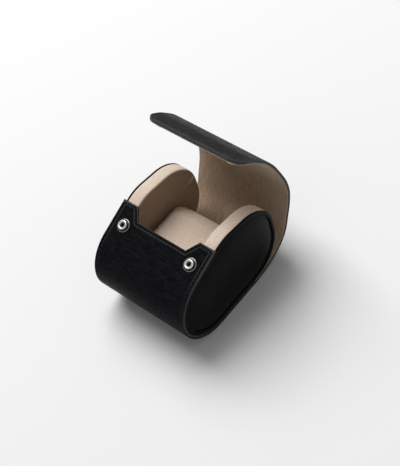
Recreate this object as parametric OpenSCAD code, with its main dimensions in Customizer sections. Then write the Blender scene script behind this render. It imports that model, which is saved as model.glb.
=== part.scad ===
// Travel case for one wrist watch: two padded end caps joined by a bent leather wrap,
// whose back runs on as a flexible flap that closes over the top onto two press studs.
// Origin: centre of the flat base, on the surface it stands on. X runs from cap to cap,
// -Y is the front with the studs, +Z is up. The flap is drawn open, as it relaxes.
//
// Every curved sheet follows one closed outline in the Y-Z plane. A place on it is given by
// s, the distance along the outline, counted from the back end of the flat base up the back,
// over the crown, down the front and back under the base, and by r, the offset from the core.

/* [Case] */
// Width over the edges of the wrap
case_w = 81; // [76:0.5:96]
// Half the depth of the flat base
base_half = 19; // [15:0.5:24]
// Radius of the outside of the wrap where it leaves the base
outer_r = 32; // [30:0.5:38]
// Height of the back shoulder's arc centre above the base's arc centres
back_rise = 8; // [5:0.5:12]
// Distance of the crown's arc centre behind the middle of the case
crown_y = 6; // [3:0.5:9]
// Height of the crown's arc centre above the base's arc centres
crown_rise = 10; // [8:0.5:13]

/* [Sheet materials] */
// Thickness of the outer leather
leather_t = 1.2; // [0.9:0.1:1.6]
// Thickness of the stiffening board
board_t = 0.8; // [0.6:0.1:1.2]
// Thickness of the suede lining
lining_t = 0.6; // [0.4:0.1:0.9]

/* [End caps] */
// Thickness of one end cap
cap_t = 11.5; // [9:0.5:14]
// Width of the turned leather edge round the cap's outer face
edge_w = 3; // [2:0.5:5]
// Thickness of the turned leather edge
edge_t = 1.5; // [1.2:0.1:2]
// Softened corner of the turned edge and of the inner rim
cap_round = 0.8; // [0.4:0.1:1.1]
// Height of the padded dome on the outer face, above the turned edge
dome_h = 1.2; // [0.6:0.1:2]
// Depth of the foam pad's seat in the cap core
pad_seat = 1; // [0.6:0.1:2]

/* [Front panel] */
// Distance of the ear tops below the crown's tangent line
ear_drop = 0.4; // [0.2:0.1:2]
// Distance of the lip between the ears below the crown's tangent line
lip_drop = 9.8; // [7:0.2:12]
// Half the length of the lip
lip_half = 21.5; // [18:0.5:24]
// Half the distance between the ears at their tops
ear_half = 28; // [25:0.5:31]

/* [Flap] */
// Distance of the living hinge from the base, along the outline
hinge_s = 15; // [12:0.5:18]
// Length of the back part of the flap, from the living hinge to the first bend
back_l = 49; // [44:0.5:54]
// Length of the shoulder part of the flap
shoulder_l = 28; // [24:0.5:32]
// Length of the crown part of the flap
crown_l = 26; // [22:0.5:29]
// Distance of the free end below the crown's tangent line when closed
tongue_reach = 25; // [24:0.2:26.4]
// Corner radius of the free end
tongue_corner = 10; // [6:0.5:12]
// Room between the closed flap and the cap rims
flap_gap = 0.3; // [0.2:0.1:1]
// How far the leather swells off the caps where the crown starts
flap_swell = 2; // [0.5:0.1:2.5]
// Distance to either side over which the swelling dies out
swell_reach = 21; // [18:0.5:22]
// Slit between neighbouring parts of the flap when closed
bend_slit = 0.4; // [0.3:0.1:0.8]
// Angle of the living hinge in the open, relaxed flap
hinge_open = 22; // [5:1:30]
// Angle of the bend below the shoulder in the relaxed flap
shoulder_open = 18; // [5:1:25]
// Angle of the bend above the shoulder in the relaxed flap
crown_open = 15; // [5:1:20]
// Angle by which the tongue stands off the crown in the relaxed flap
tongue_open = 6; // [5:0.5:10]

/* [Press studs] */
// Distance of each stud from the middle of the case
stud_x = 30; // [26:0.5:33]
// Distance of the studs below the crown's tangent line
stud_drop = 16.5; // [15.5:0.1:17.5]
// Diameter of the stud's foot
foot_d = 9.6; // [8.6:0.1:10.4]
// Thickness of the stud's foot
foot_t = 0.5; // [0.4:0.1:0.8]
// Diameter of the stud's ring
ring_d = 7; // [6:0.1:7.6]
// Height of the stud's ring above its foot
ring_h = 2; // [1.6:0.1:2.2]
// Diameter of the hole in the stud
stud_hole_d = 3; // [2.4:0.1:3.6]
// Radius of the funnel that leads into the hole
funnel_r = 1.2; // [0.6:0.1:1.4]
// Diameter of the ball-shaped dimples round the stud's waist
dimple_d = 1.6; // [1.2:0.1:1.8]
// Outer diameter of the socket under the tongue
socket_d = 11.4; // [11:0.1:12.4]
// Height of the socket
socket_h = 2.6; // [2.5:0.1:3.2]
// Thickness of the socket's roof
socket_roof = 0.4; // [0.3:0.1:0.6]
// Diameter of the hidden flange of a post or cap
flange_d = 8.4; // [7.5:0.1:9]
// Thickness of the hidden flange of a post or cap
flange_t = 0.4; // [0.3:0.05:0.5]
// Room between parts of a snap that meet when it closes
snap_gap = 0.15; // [0.1:0.05:0.3]
// Wire diameter of the spring ring in the socket
wire_d = 0.5; // [0.4:0.1:0.7]

/* [Cushion] */
// Room between the cushion and each end cap
cushion_gap = 1; // [0.5:0.1:2]
// Depth of the cushion, front to back
cushion_d = 60; // [50:1:66]
// Height of the cushion
cushion_h = 40; // [32:1:44]
// Radius of the cushion's long edges
cushion_round = 15; // [10:0.5:16]
// Inset of the cushion's soft ends
cushion_soft = 4; // [2:0.5:6]
// Thickness of the cushion's cover
cover_t = 1; // [0.6:0.1:1.6]
// Length of the filling slit under the cushion
slit_l = 34; // [20:1:40]
// Width of the filling slit
slit_w = 1.6; // [1:0.2:3]

/* [Hidden] */

leather_color = "#17191c";
suede_color = "#cbb296";
board_color = "#8b7355";
foam_color = "#e6dcc6";
metal_color = "#c9c9cc";

eps = 0.01;
over = 1;                           // how far a cutting shape runs past what it cuts
fit_gap = 0.05;                     // room round a post or a socket in its hole
arc_mark = 4;                       // degrees between the marks along an arc
mark_gap = 0.1;                     // least distance between two marks at the end of a strip
round_fn = 64;
sheet_t = leather_t + board_t + lining_t;
cap_r = outer_r - sheet_t;          // outline of the cap rims and of the wrap's inside
cap_in = case_w / 2 - cap_t;        // inner face of a cap, from the middle
cap_out = case_w / 2;               // outer face of a cap's turned edge

// ---- The outline -------------------------------------------------------------------------
core = [[-base_half, outer_r], [base_half, outer_r],
        [base_half, outer_r + back_rise], [crown_y, outer_r + crown_rise]];
corners = len(core);

// Side k of the core runs from corner k to the next one. Side 0 is the base's.
function side(k) = core[(k + 1) % corners] - core[k % corners];
// Direction of the outward normal of side k
function side_normal(k) = atan2(side(k)[1], side(k)[0]) - 90;
// Corner k turns the outline from the normal of the side before it to that of the side after it
function turn(k) = (side_normal(k) - side_normal(k + corners - 1) + 720) % 360;
function arc_l(k) = outer_r * turn(k) * PI / 180;
// Distance along the outline at which corner k's arc starts. The outline starts at corner 1.
function arc_start(k) = k == 1 ? 0 : arc_start(k - 1) + arc_l(k - 1) + norm(side(k - 1));

outline_l = arc_start(corners + 1);
crown_tangent = arc_start(3) + arc_l(3);   // where the crown's arc meets the straight front

// The corner that carries the place s, the normal there and the way along its straight side
function spot(s, k = 1) =
    let (past = s - arc_start(k), arc = arc_l(k))
    k < corners && past >= arc + norm(side(k)) ? spot(s, k + 1)
    : past < arc ? [core[k % corners], side_normal(k + corners - 1) + past / outer_r * 180 / PI, 0]
    : [core[k % corners], side_normal(k), past - arc];

function at(s, r) =
    let (q = spot(s % outline_l))
    q[0] + r * [cos(q[1]), sin(q[1])] + q[2] * [-sin(q[1]), cos(q[1])];

arc_marks = [for (lap = [0, 1]) for (k = [1 : corners])
             let (n = ceil(turn(k) / arc_mark))
             for (i = [0 : n]) lap * outline_l + arc_start(k) + arc_l(k) * i / n];

function stations(s0, s1, extra = []) =
    let (inside = [for (m = concat(arc_marks, extra)) if (m > s0 + mark_gap && m < s1 - mark_gap) m])
    concat([s0], sorted(inside), [s1]);

function sorted(v) = len(v) < 2 ? v :
    let (pivot = v[floor(len(v) / 2)])
    concat(sorted([for (x = v) if (x < pivot - eps) x]), [pivot],
           sorted([for (x = v) if (x > pivot + eps) x]));

// Sheet profile between two places on the outline, from offset r0 to r1
module strip(s0, s1, r0, r1) {
    marks = stations(s0, s1);
    last = len(marks) - 1;
    polygon(concat([for (s = marks) at(s, r0)],
                   [for (i = [last : -1 : 0]) at(marks[i], r1)]));
}

module outline(r) {
    marks = stations(0, outline_l - eps);
    polygon([for (i = [0 : len(marks) - 2]) at(marks[i], r)]);
}

// Draws a profile of the Y-Z plane as a solid from x0 to x1
module across(x0, x1) {
    translate([x0, 0, 0]) rotate([90, 0, 90]) linear_extrude(x1 - x0) children();
}

module slab(x0, x1, r) {
    across(x0, x1) outline(r);
}

// Puts a shape on the straight front: its Y points up the slope and its Z out of the case
module on_front(drop, r) {
    foot = at(crown_tangent + drop, r);
    translate([0, foot[0], foot[1]]) rotate([side_normal(3) - 90, 0, 0]) children();
}

module at_studs(r) {
    for (side_sign = [-1, 1])
        on_front(stud_drop, r) translate([side_sign * stud_x, 0, 0]) children();
}

// ---- The flap ----------------------------------------------------------------------------
stud_s = crown_tangent + stud_drop;
tongue_end = crown_tangent + tongue_reach;
flap_r = cap_r + flap_gap;          // inside of the closed flap over the cap rims
// The socket stands on the board of the tongue, through its lining, and hangs over the foot
tongue_r = outer_r + foot_t + snap_gap + socket_h - lining_t;
// Along the crown's arc the flap rises to clear the front, and it is flat again at the sockets.
// Leather that bends over the shoulder and the crown bridges the straight stretch between them
// in one curve, so there it swells off the caps.
lift_from = arc_start(3);
lift_to = stud_s - socket_d / 2 - fit_gap;

bends = [[hinge_s, hinge_open],
         [hinge_s + back_l, shoulder_open],
         [hinge_s + back_l + shoulder_l, crown_open],
         [hinge_s + back_l + shoulder_l + crown_l, tongue_open]];

function smooth(t) = let (u = min(max(t, 0), 1)) u * u * (3 - 2 * u);
function swell(s) = flap_swell * smooth(1 - abs(s - lift_from) / swell_reach);
function lift(s) = (tongue_r - flap_r) * smooth((s - lift_from) / (lift_to - lift_from));
function flap_in(s) = flap_r + swell(s) + lift(s);
lift_step = 2;
lift_marks = [for (s = [lift_from - swell_reach : lift_step : lift_to]) s, lift_to];

// A bend turns about a line in the outside of the leather
function bend_axis(k) = at(bends[k][0], flap_in(bends[k][0]) + sheet_t);

module bent(k) {
    if (k < 0) children();
    else bent(k - 1)
        translate([0, bend_axis(k)[0], bend_axis(k)[1]]) rotate([-bends[k][1], 0, 0])
            translate([0, -bend_axis(k)[0], -bend_axis(k)[1]]) children();
}

// One layer of part k of the flap in its closed place, between two depths from its inside
module flap_layer(k, lo, hi) {
    s0 = bends[k][0] + bend_slit / 2;
    s1 = k < len(bends) - 1 ? bends[k + 1][0] - bend_slit / 2 : tongue_end;
    marks = stations(s0, s1, lift_marks);
    last = len(marks) - 1;
    across(-case_w / 2, case_w / 2)
        polygon(concat([for (s = marks) at(s, flap_in(s) + lo)],
                       [for (i = [last : -1 : 0]) at(marks[i], flap_in(marks[i]) + hi)]));
}

module flap_leather(k) {
    color(leather_color) bent(k) flap_layer(k, board_t + lining_t, sheet_t);
}
module flap_board(k) {
    color(board_color) bent(k) flap_layer(k, lining_t, board_t + lining_t);
}
module flap_lining(k) {
    color(suede_color) bent(k) flap_layer(k, 0, lining_t);
}

// What rounds off the two corners of the free end
module end_corners() {
    reach = 3 * sheet_t + tongue_r - outer_r;
    for (side_sign = [-1, 1])
        on_front(tongue_reach, outer_r)
            translate([side_sign * (case_w / 2 - tongue_corner), tongue_corner, -reach])
                difference() {
                    linear_extrude(3 * reach)
                        translate([side_sign > 0 ? 0 : -tongue_corner - over, -tongue_corner - over])
                            square(tongue_corner + over);
                    translate([0, 0, -over])
                        cylinder(h = 3 * reach + 2 * over, r = tongue_corner, $fn = round_fn);
                }
}

module tongue_layer(lo, hi) {
    difference() {
        flap_layer(3, lo, hi);
        end_corners();
    }
}

module tongue_leather() {
    color(leather_color) bent(3) tongue_layer(board_t + lining_t, sheet_t);
}

// The board has a hole for each cap's post and a seat for its flange under the leather
module tongue_board() {
    color(board_color) bent(3) difference() {
        tongue_layer(lining_t, board_t + lining_t);
        at_studs(tongue_r) {
            cylinder(h = 3 * sheet_t, d = post_d + 2 * fit_gap, $fn = round_fn);
            translate([0, 0, sheet_t - leather_t - flange_t])
                cylinder(h = 2 * sheet_t, d = flange_d + 2 * fit_gap, $fn = round_fn);
        }
    }
}

module tongue_lining() {
    color(suede_color) bent(3) difference() {
        tongue_layer(0, lining_t);
        at_studs(tongue_r - socket_h) cylinder(h = 3 * socket_h, d = socket_d + 2 * fit_gap, $fn = round_fn);
    }
}

// ---- The wrap ----------------------------------------------------------------------------
wrap_start = crown_tangent + ear_drop;
wrap_end = outline_l + hinge_s - bend_slit / 2;

// The front edge is cut down to the lip between two ears, whose inner sides slant
module lip_cut() {
    above = ear_drop + 2 * sheet_t;
    slant = (ear_half - lip_half) / (lip_drop - ear_drop);
    on_front(0, outer_r - 2 * sheet_t) linear_extrude(4 * sheet_t)
        polygon([[-lip_half, -lip_drop], [lip_half, -lip_drop],
                 [ear_half, -ear_drop], [ear_half + slant * above, above - ear_drop],
                 [-ear_half - slant * above, above - ear_drop], [-ear_half, -ear_drop]]);
}

module wrap_layer(r0, r1) {
    difference() {
        across(-case_w / 2, case_w / 2) strip(wrap_start, wrap_end, r0, r1);
        lip_cut();
    }
}

module wrap_leather() {
    color(leather_color) difference() {
        wrap_layer(outer_r - leather_t, outer_r);
        at_studs(cap_r) cylinder(h = 2 * sheet_t, d = post_d + 2 * fit_gap, $fn = round_fn);
    }
}

// The board has a hole for each post and a seat for its flange on the inside
module wrap_board() {
    color(board_color) difference() {
        wrap_layer(cap_r + lining_t, outer_r - leather_t);
        at_studs(cap_r) cylinder(h = 2 * sheet_t, d = post_d + 2 * fit_gap, $fn = round_fn);
        at_studs(cap_r) cylinder(h = lining_t + flange_t, d = flange_d + 2 * fit_gap, $fn = round_fn);
    }
}

module wrap_lining() {
    color(suede_color) wrap_layer(cap_r, cap_r + lining_t);
}

// ---- The end caps ------------------------------------------------------------------------
pad_r = cap_r - edge_w;             // outline of the dome inside the turned edge
edge_in = cap_out - edge_t;         // where the turned edge meets the core and the rim lining

module on_side(side_sign) {
    mirror([side_sign > 0 ? 0 : 1, 0, 0]) children();
}

// The padded dome's profile: the share of its rise, and how far in from its outline
dome_profile = [[0, 0], [0.62, 1.2], [0.9, 6], [1, 14]];

module dome(rise, inset) {
    hull()
        for (p = dome_profile)
            slab(edge_in + (rise - eps) * p[0], edge_in + (rise - eps) * p[0] + eps,
                 pad_r - inset - p[1]);
}

module cap_core(side_sign) {
    color(board_color) on_side(side_sign) difference() {
        slab(cap_in + lining_t, edge_in, cap_r - lining_t);
        slab(edge_in - pad_seat, edge_in + over, pad_r);
    }
}

module cap_pad(side_sign) {
    color(foam_color) on_side(side_sign) {
        slab(edge_in - pad_seat, edge_in, pad_r);
        dome(edge_t + dome_h - leather_t, leather_t);
    }
}

module cap_panel(side_sign) {
    color(leather_color) on_side(side_sign) difference() {
        dome(edge_t + dome_h, 0);
        dome(edge_t + dome_h - leather_t, leather_t);
    }
}

module cap_edge(side_sign) {
    color(leather_color) on_side(side_sign) difference() {
        hull() {
            slab(edge_in, cap_out - cap_round, cap_r);
            slab(cap_out - cap_round / 3, cap_out, cap_r - cap_round);
        }
        slab(edge_in - over, cap_out + over, pad_r);
    }
}

module cap_lining(side_sign) {
    color(suede_color) on_side(side_sign) difference() {
        hull() {
            slab(cap_in, cap_in + eps, cap_r - cap_round);
            slab(cap_in + cap_round / 3, cap_in + cap_round, cap_r - cap_round / 3);
            slab(cap_in + cap_round, edge_in, cap_r);
        }
        slab(cap_in + lining_t, edge_in + over, cap_r - lining_t);
    }
}

// ---- The cushion -------------------------------------------------------------------------
cushion_half = cap_in - cushion_gap;
soft_step = cushion_soft * 0.3;     // first step of the soft ends

module cushion_profile(inset) {
    reach_y = cushion_d / 2 - cushion_round;
    translate([0, sheet_t + cushion_round])
        hull() for (y = [-reach_y, reach_y]) for (z = [0, cushion_h - 2 * cushion_round])
            translate([y, z]) circle(r = cushion_round - inset, $fn = 40);
}

module cushion_form(inset) {
    end = cushion_half - inset;
    hull() {
        across(-end, end) cushion_profile(inset + cushion_soft);
        across(-end + soft_step, end - soft_step) cushion_profile(inset + soft_step);
        across(-end + cushion_soft, end - cushion_soft) cushion_profile(inset);
    }
}

module cushion_core() {
    color(foam_color) cushion_form(cover_t);
}

// The cover is filled through a slit underneath
module cushion_cover() {
    color(suede_color) difference() {
        cushion_form(0);
        cushion_form(cover_t);
        translate([-slit_l / 2, -slit_w / 2, sheet_t - over]) cube([slit_l, slit_w, cover_t + 2 * over]);
    }
}

// ---- The press studs ---------------------------------------------------------------------
post_d = stud_hole_d - 2 * fit_gap;
post_wall = 0.45;
lip_round = ring_d * 0.1;
waist = ring_d * 0.03;
stud_top = foot_t + ring_h;
funnel = min(funnel_r, (ring_d - stud_hole_d) / 2 - lip_round - fit_gap);
dimples = 6;
dimple_depth = dimple_d * 0.3;
dimple_z = foot_t + ring_h * 0.36;

// Ring with a rolled lip and a dimpled waist on a flat foot, open through its middle
module snap_stud() {
    difference() {
        rotate_extrude($fn = round_fn)
            polygon(concat(
                [[stud_hole_d / 2, 0], [foot_d / 2 - foot_t / 2, 0], [foot_d / 2, foot_t / 2],
                 [foot_d / 2 - foot_t / 2, foot_t], [ring_d / 2 - waist, foot_t]],
                [for (a = [-20 : 20 : 90])
                    [ring_d / 2 - lip_round * (1 - cos(a)), stud_top - lip_round * (1 - sin(a))]],
                [for (a = [90 : 15 : 180])
                    [stud_hole_d / 2 + funnel * (1 + cos(a)), stud_top - funnel * (1 - sin(a))]]));
        for (i = [1 : dimples]) rotate([0, 0, i * 360 / dimples])
            translate([ring_d / 2 + dimple_d / 2 - dimple_depth, 0, dimple_z])
                sphere(d = dimple_d, $fn = 32);
    }
}

module snap_studs() {
    color(metal_color) at_studs(outer_r) snap_stud();
}

// Hollow posts that rise from a flange in the front panel's board and hold the studs
module snap_posts() {
    color(metal_color) at_studs(cap_r + lining_t) rotate_extrude($fn = round_fn)
        polygon([[post_d / 2 - post_wall, 0], [flange_d / 2, 0], [flange_d / 2, flange_t],
                 [post_d / 2, flange_t], [post_d / 2, board_t + leather_t + foot_t + ring_h / 2],
                 [post_d / 2 - post_wall, board_t + leather_t + foot_t + ring_h / 2]]);
}

// Cups under the tongue: a wall that takes the stud's ring, with a groove for the spring
socket_in = ring_d + 2 * wire_d;
module snap_sockets() {
    color(metal_color) bent(3) at_studs(tongue_r + lining_t) rotate_extrude($fn = round_fn)
        polygon([[post_d / 2 + fit_gap, 0], [socket_d / 2 - foot_t / 2, 0], [socket_d / 2, -foot_t / 2],
                 [socket_d / 2, foot_t / 2 - socket_h], [socket_d / 2 - foot_t / 2, -socket_h],
                 [socket_in / 2 - wire_d / 2, -socket_h],
                 [socket_in / 2 - wire_d / 2, wire_d / 2 - socket_h],
                 [socket_in / 2, wire_d / 2 - socket_h],
                 [socket_in / 2, -socket_roof], [post_d / 2 + fit_gap, -socket_roof]]);
}

// Split rings of spring wire that lie in the sockets and grip the studs under their rims
module snap_springs() {
    gape = 40;
    color(metal_color) bent(3)
        at_studs(outer_r + foot_t + snap_gap + wire_d + fit_gap)
            rotate([0, 0, 90 + gape / 2]) rotate_extrude(angle = 360 - gape, $fn = round_fn)
                translate([socket_in / 2 - wire_d / 2 - fit_gap, 0]) circle(d = wire_d, $fn = 16);
}

// Hidden caps: a flange under the tongue's leather, with a post that is clenched in the socket
module snap_caps() {
    color(metal_color) bent(3) at_studs(tongue_r + lining_t) rotate_extrude($fn = round_fn)
        polygon([[0, -socket_roof], [post_d / 2, -socket_roof], [post_d / 2, board_t - flange_t],
                 [flange_d / 2, board_t - flange_t], [flange_d / 2, board_t], [0, board_t]]);
}

wrap_leather();
wrap_board();
wrap_lining();
cap_core(-1);  // left_cap_core
cap_pad(-1);  // left_cap_pad
cap_panel(-1);  // left_cap_panel
cap_edge(-1);  // left_cap_edge
cap_lining(-1);  // left_cap_lining
cap_core(1);  // right_cap_core
cap_pad(1);  // right_cap_pad
cap_panel(1);  // right_cap_panel
cap_edge(1);  // right_cap_edge
cap_lining(1);  // right_cap_lining
cushion_core();
cushion_cover();
snap_studs();
snap_posts();
snap_sockets();
snap_springs();
snap_caps();
flap_leather(0);  // back_leather
flap_board(0);  // back_board
flap_lining(0);  // back_lining
flap_leather(1);  // shoulder_leather
flap_board(1);  // shoulder_board
flap_lining(1);  // shoulder_lining
flap_leather(2);  // crown_leather
flap_board(2);  // crown_board
flap_lining(2);  // crown_lining
tongue_leather();
tongue_board();
tongue_lining();
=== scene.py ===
# %% [markdown]
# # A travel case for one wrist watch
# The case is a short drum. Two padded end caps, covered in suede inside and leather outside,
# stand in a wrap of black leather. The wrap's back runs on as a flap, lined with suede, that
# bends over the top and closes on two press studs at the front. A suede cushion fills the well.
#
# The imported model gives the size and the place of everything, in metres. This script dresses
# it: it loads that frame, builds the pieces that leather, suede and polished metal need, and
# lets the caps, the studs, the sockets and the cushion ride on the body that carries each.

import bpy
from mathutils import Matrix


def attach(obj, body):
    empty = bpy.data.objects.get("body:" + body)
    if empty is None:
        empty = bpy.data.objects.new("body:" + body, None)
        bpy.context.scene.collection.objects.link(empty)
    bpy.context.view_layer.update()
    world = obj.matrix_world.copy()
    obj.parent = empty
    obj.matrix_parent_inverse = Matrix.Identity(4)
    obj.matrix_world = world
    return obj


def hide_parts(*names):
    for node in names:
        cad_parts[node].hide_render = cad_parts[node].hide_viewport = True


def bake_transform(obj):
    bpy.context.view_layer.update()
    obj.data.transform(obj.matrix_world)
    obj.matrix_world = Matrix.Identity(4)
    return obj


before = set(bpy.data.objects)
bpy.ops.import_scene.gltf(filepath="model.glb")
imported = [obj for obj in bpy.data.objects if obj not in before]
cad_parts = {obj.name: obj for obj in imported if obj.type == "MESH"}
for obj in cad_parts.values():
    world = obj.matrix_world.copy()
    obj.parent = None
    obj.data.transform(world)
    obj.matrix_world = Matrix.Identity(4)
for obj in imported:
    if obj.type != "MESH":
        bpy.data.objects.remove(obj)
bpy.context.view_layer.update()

# %% Tools of the trade
import math

import bmesh
import bpy
import numpy as np
from mathutils import Matrix, Vector

MM = 0.001
print("lengths below are in millimetres, and MM turns them into metres")

# %% [markdown]
# ## The camera
# The camera stands in front of the case's right-hand corner and looks down at it steeply. Its
# place, turn and lens were found by matching the outline of the caps, the studs and the flap
# with the photograph. A view that leans to one side is easiest to write as three directions:
# what is right, what is up, and what points back to the camera.

# %% Camera
photo_height, focal_pixels, film_width = 466, 1163.3, 36
camera_place = Vector((403.0, -263.6, 679.4))
camera_data = bpy.data.cameras.new("Camera")
camera_data.sensor_width = film_width
camera_data.lens = focal_pixels * film_width / photo_height
camera_data.clip_start, camera_data.clip_end = 0.02, 20
camera = bpy.data.objects.new("Camera", camera_data)
bpy.context.scene.collection.objects.link(camera)
right = Vector((0.7531, 0.6270, -0.1994)).normalized()
back = Vector((0.4976, -0.3445, 0.7961))
back = (back - back.project(right)).normalized()
turned_so = Matrix((right, back.cross(right), back)).transposed().to_4x4()
camera.matrix_world = Matrix.Translation(camera_place * MM) @ turned_so
bpy.context.scene.camera = camera
print("camera", [round(x, 3) for x in camera.location], "lens", round(camera_data.lens, 1))

# %% [markdown]
# ## The studio
# The case stands on a white sweep. One very wide, soft lamp, above, to the left and behind, does
# most of the work: it lights the cap rims, leaves the inside of the flap in shade and lays a
# soft shadow to the right. The world adds an even light at a quarter of full white. To the
# camera and in reflections it is plain white, so that the polished studs have something to show.

# %% The lamp
scene = bpy.context.scene
scene.view_settings.view_transform = "Standard"
lamp_place, lamp_aim = Vector((-1.46, 0.75, 2.63)), Vector((0, 0, 0.03))
lamp_side, lamp_watts = 2.3, 100.0
lamp = bpy.data.lights.new("Key lamp", "AREA")
lamp.shape, lamp.size, lamp.size_y, lamp.energy = "RECTANGLE", lamp_side, lamp_side, lamp_watts
holder = bpy.data.objects.new("Key lamp", lamp)
holder.location = lamp_place
holder.rotation_euler = (lamp_aim - lamp_place).to_track_quat("-Z", "Y").to_euler()
scene.collection.objects.link(holder)
print("key lamp at", lamp_place[:], "watts", lamp_watts)


# %% Nodes, and the world made of them
def fill(tree, node, wires):
    """Fills a node's inputs, by index or name, from another node's socket or with a value."""
    for socket, source in dict(wires).items():
        if isinstance(source, bpy.types.NodeSocket):
            tree.links.new(source, node.inputs[socket])
        else:
            node.inputs[socket].default_value = source


def add(tree, kind, wires=(), **settings):
    """Adds a node with its settings, and fills its inputs."""
    node = tree.nodes.new("ShaderNode" + kind)
    for name, value in settings.items():
        setattr(node, name, value)
    fill(tree, node, wires)
    return node


world_dim = 0.25
world = bpy.data.worlds.new("Studio")
scene.world = world
world.use_nodes = True
studio = world.node_tree
studio.nodes.clear()
rays = add(studio, "LightPath").outputs
seen_white = rays["Is Camera Ray"]
for ray in ("Is Glossy Ray", "Is Transmission Ray"):
    seen_white = add(studio, "Math", {0: seen_white, 1: rays[ray]}, operation="MAXIMUM").outputs[0]
dim, white = (add(studio, "Background", {"Color": (1, 1, 1, 1), "Strength": strength}).outputs[0]
              for strength in (world_dim, 1))
shown = add(studio, "MixShader", {0: seen_white, 1: dim, 2: white}).outputs[0]
add(studio, "OutputWorld", {"Surface": shown})
print("world of", len(studio.nodes), "nodes")

# %% Floor
bpy.ops.object.select_all(action="DESELECT")
bpy.ops.mesh.primitive_plane_add(size=6)
floor = bpy.context.object
floor.name = "floor"
floor_finish = bpy.data.materials.new("White sweep")
floor_finish.use_nodes = True
fill(floor_finish.node_tree, floor_finish.node_tree.nodes["Principled BSDF"],
     {"Base Color": (0.90, 0.90, 0.90, 1), "Roughness": 0.9, "Specular IOR Level": 0.1})
floor.data.materials.append(floor_finish)
print("floor", floor.dimensions[:])

# %% [markdown]
# ## The outline, again
# All the curved sheets follow one closed outline in the Y-Z plane, just as in the CAD source.
# A place on it is `s`, the distance along the outline from the back end of the flat base up
# the back and over the crown, and `r`, the offset from a small core of four corners. Round a
# corner the normal turns evenly, and along a side the foot moves evenly, so both are simple
# tables, and `outline_at` only has to look them up.

# %% The outline's tables
case_w, base_half, outer_r, back_rise, crown_y, crown_rise = 81, 19, 32, 8, 6, 10
leather_t, board_t, lining_t = 1.2, 0.8, 0.6
sheet_t = leather_t + board_t + lining_t
cap_t, edge_t, edge_w, dome_h = 11.5, 1.5, 3, 1.2
cap_r = outer_r - sheet_t
cap_out = case_w / 2
cap_in = cap_out - cap_t
edge_in = cap_out - edge_t

corners = np.array([
    (base_half, outer_r), (base_half, outer_r + back_rise),
    (crown_y, outer_r + crown_rise), (-base_half, outer_r),
], float)
marks, normals, feet = [0.0], [-90.0], [corners[0]]
for corner, following in zip(corners, np.roll(corners, -1, axis=0)):
    along = following - corner
    normal = math.degrees(math.atan2(along[1], along[0])) - 90
    normal += 360 * math.ceil((normals[-1] - normal) / 360)
    marks.append(marks[-1] + outer_r * math.radians(normal - normals[-1]))
    marks.append(marks[-1] + float(np.hypot(*along)))
    normals += [normal, normal]
    feet += [corner, following]
feet = np.array(feet)
outline_l = marks[-1]
crown_start, crown_tangent = marks[4], marks[5]
print("outline", round(outline_l, 2), "crown", round(crown_start, 2), round(crown_tangent, 2))


# %% Places on the outline
def normal_at(s):
    lap = np.floor(np.asarray(s, float) / outline_l)
    return np.radians(np.interp(s - lap * outline_l, marks, normals) + 360 * lap)


def outline_at(s, r):
    turn = normal_at(s)
    s = np.asarray(s, float) % outline_l
    foot = np.stack([np.interp(s, marks, feet[:, 0]), np.interp(s, marks, feet[:, 1])], -1)
    return foot + np.asarray(r)[..., None] * np.stack([np.cos(turn), np.sin(turn)], -1)


print("top of the crown", outline_at(crown_start + 9, outer_r).round(2))

# %% [markdown]
# ## The strap's path
# Wrap and flap are one strap. It starts at the front's top edge, runs down the front, under
# the base and up the back, and goes on as the flap, so its places are counted on into a second
# lap. Closed, the flap follows the outline and rises over the front edge. Open, as here, it
# has four soft bends. The CAD has a sharp hinge at each, and leather has a curve instead: the
# turn of each bend is spread smoothly over 26 mm, the path is added up from its turned steps,
# and a small shift brings it back exactly onto the CAD's next rigid part.

# %% Flap and bends, closed
ear_drop, lip_drop, lip_half, ear_half = 0.4, 9.8, 21.5, 28
hinge_s, back_l, shoulder_l, crown_l = 15, 49, 28, 26
tongue_reach, tongue_corner, flap_gap = 25, 10, 0.3
flap_swell, swell_reach, gap_from, gap_over = 2, 21, 3, 22
stud_x, stud_drop, foot_t, snap_gap, fit_gap = 30, 16.5, 0.5, 0.15, 0.05
socket_d, socket_h = 11.4, 2.6
flap_r = cap_r + flap_gap
tongue_r = outer_r + foot_t + snap_gap + socket_h - lining_t
stud_s = crown_tangent + stud_drop
lift_to = stud_s - socket_d / 2 - fit_gap
strap_start = crown_tangent + ear_drop
strap_end = outline_l + crown_tangent + tongue_reach
bend_places = outline_l + hinge_s + np.cumsum([0, back_l, shoulder_l, crown_l])
bend_angles = np.radians([22, 18, 15, 6])
bend_half = 13


def smooth(t):
    t = np.clip(t, 0, 1)
    return t * t * (3 - 2 * t)


def inside_r(s):
    """Offset of the strap's inner face: on the caps, a little off them, swollen, then lifted."""
    off = flap_gap * smooth((s - outline_l - gap_from) / gap_over)
    swell = flap_swell * smooth(1 - np.abs(s - outline_l - crown_start) / swell_reach)
    lift = smooth((s - outline_l - crown_start) / (lift_to - crown_start))
    return cap_r + off + swell + (tongue_r - flap_r) * lift


def closed_outside(s):
    return outline_at(s, inside_r(s) + sheet_t)


def turned(points, pivot, angle):
    c, s = np.cos(angle), np.sin(angle)
    y, z = points[..., 0] - pivot[0], points[..., 1] - pivot[1]
    return np.stack([pivot[0] + y * c - z * s, pivot[1] + y * s + z * c], -1)


pivots = [outline_at(b, (flap_r if b < outline_l + back_l else inside_r(b)) + sheet_t)
          for b in bend_places]


def opened(points, k):
    """Moves points of the closed flap's part k to where the open flap has them."""
    for j in range(k, -1, -1):
        points = turned(points, pivots[j], -bend_angles[j])
    return points


print("bends at", bend_places.round(1), "pivots", np.array(pivots).round(2).tolist())

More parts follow.
